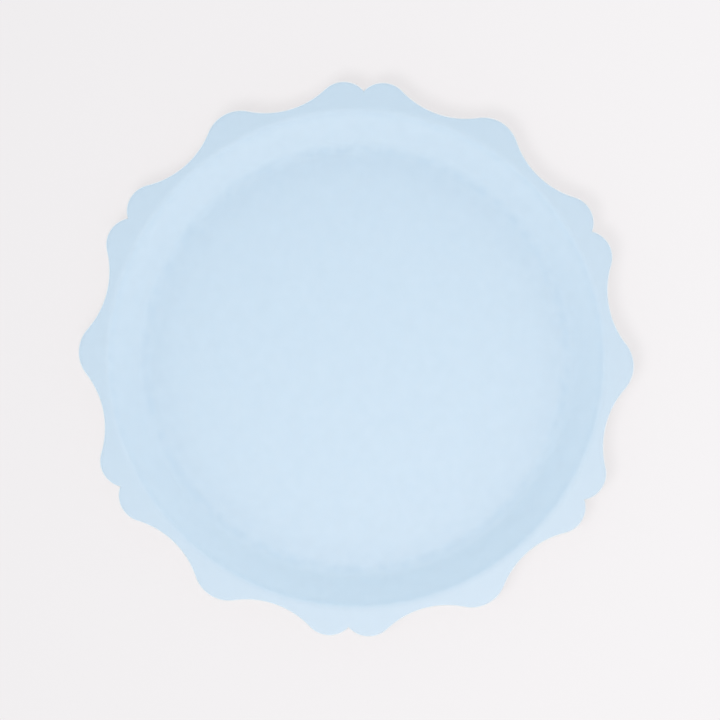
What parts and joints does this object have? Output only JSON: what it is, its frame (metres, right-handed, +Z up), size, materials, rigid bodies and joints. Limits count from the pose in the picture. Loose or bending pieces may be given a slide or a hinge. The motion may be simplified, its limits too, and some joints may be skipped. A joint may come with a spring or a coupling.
{
  "type": "side plate",
  "caption": "Shallow round compostable side plate with a flat floor, a sloping wall and a narrow rim die-cut to a scalloped edge, pressed from a laminated fibre sheet.",
  "frame": {"origin": "centre of the underside of the flat floor, where the plate stands", "axes": "+Z up along the plate's axis, out of the food side; +Y from the axis through a notch between two paired lobes; +X through the tip of a single lobe"},
  "size_m": [0.201, 0.2004, 0.013],
  "materials": {
    "clear_film": "clear satin",
    "blue_face_fibre": "matt",
    "undyed_core_fibre": "matt",
    "undyed_back_fibre": "matt"
  },
  "bodies": {
    "root": {"barrier_film": "clear_film", "face_ply": "blue_face_fibre", "core_ply": "undyed_core_fibre", "back_ply": "undyed_back_fibre"}
  },
  "joints": []
}
